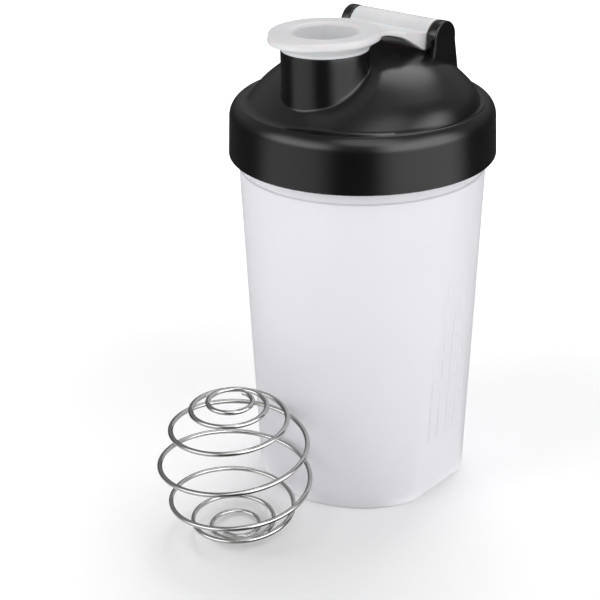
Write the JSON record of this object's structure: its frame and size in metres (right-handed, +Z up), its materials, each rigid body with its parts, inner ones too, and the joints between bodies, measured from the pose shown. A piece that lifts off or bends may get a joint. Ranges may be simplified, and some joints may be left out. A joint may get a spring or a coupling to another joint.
{
  "type": "shaker bottle",
  "caption": "Tapered shaker cup with grip flats, screw lid with spout, flip cap on a hinge, and a loose wire mixing ball.",
  "frame": {"origin": "centre of the cup's base, on the surface that it stands on", "axes": "+Z up along the cup's axis, -Y towards the spout, +Y towards the cap's hinge, X along the hinge axis"},
  "size_m": [0.088, 0.1332, 0.1607],
  "materials": {
    "frosted_cup": "frosted translucent moulded polypropylene",
    "lid_plastic": "satin black moulded polypropylene",
    "seal_rubber": "soft translucent silicone",
    "cap_plastic": "satin white moulded polypropylene",
    "ball_wire": "polished stainless steel wire"
  },
  "bodies": {
    "cup": {"cup": "frosted_cup"},
    "seal_ring": {"lid_seal_ring": "seal_rubber"},
    "lid": {"lid": "lid_plastic"},
    "flip_cap": {"flip_cap": "cap_plastic"},
    "mixing_ball": {"mixing_ball": "ball_wire"}
  },
  "joints": [
    {"name": "lid_rise", "type": "slide", "parent": "cup", "child": "seal_ring", "axis": [0, 0, 1], "range_m": [0, 0.0055]},
    {"name": "lid_turn", "type": "hinge", "parent": "seal_ring", "child": "lid", "pos_m": [0, 0, 0.1308], "axis": [0, 0, 1], "range_deg": [0, 396]},
    {"name": "cap_hinge", "type": "hinge", "parent": "lid", "child": "flip_cap", "pos_m": [0, 0.0177, 0.15425], "axis": [-1, 0, 0], "range_deg": [0, 190]},
    {"name": "ball_lift", "type": "slide", "parent": "cup", "child": "mixing_ball", "axis": [0, -0.6, 0.8], "range_m": [0, 0.16]}
  ],
  "couplings": [
    {"joint": "lid_rise", "follows": "lid_turn", "m_per_rad": 0.00079577}
  ]
}
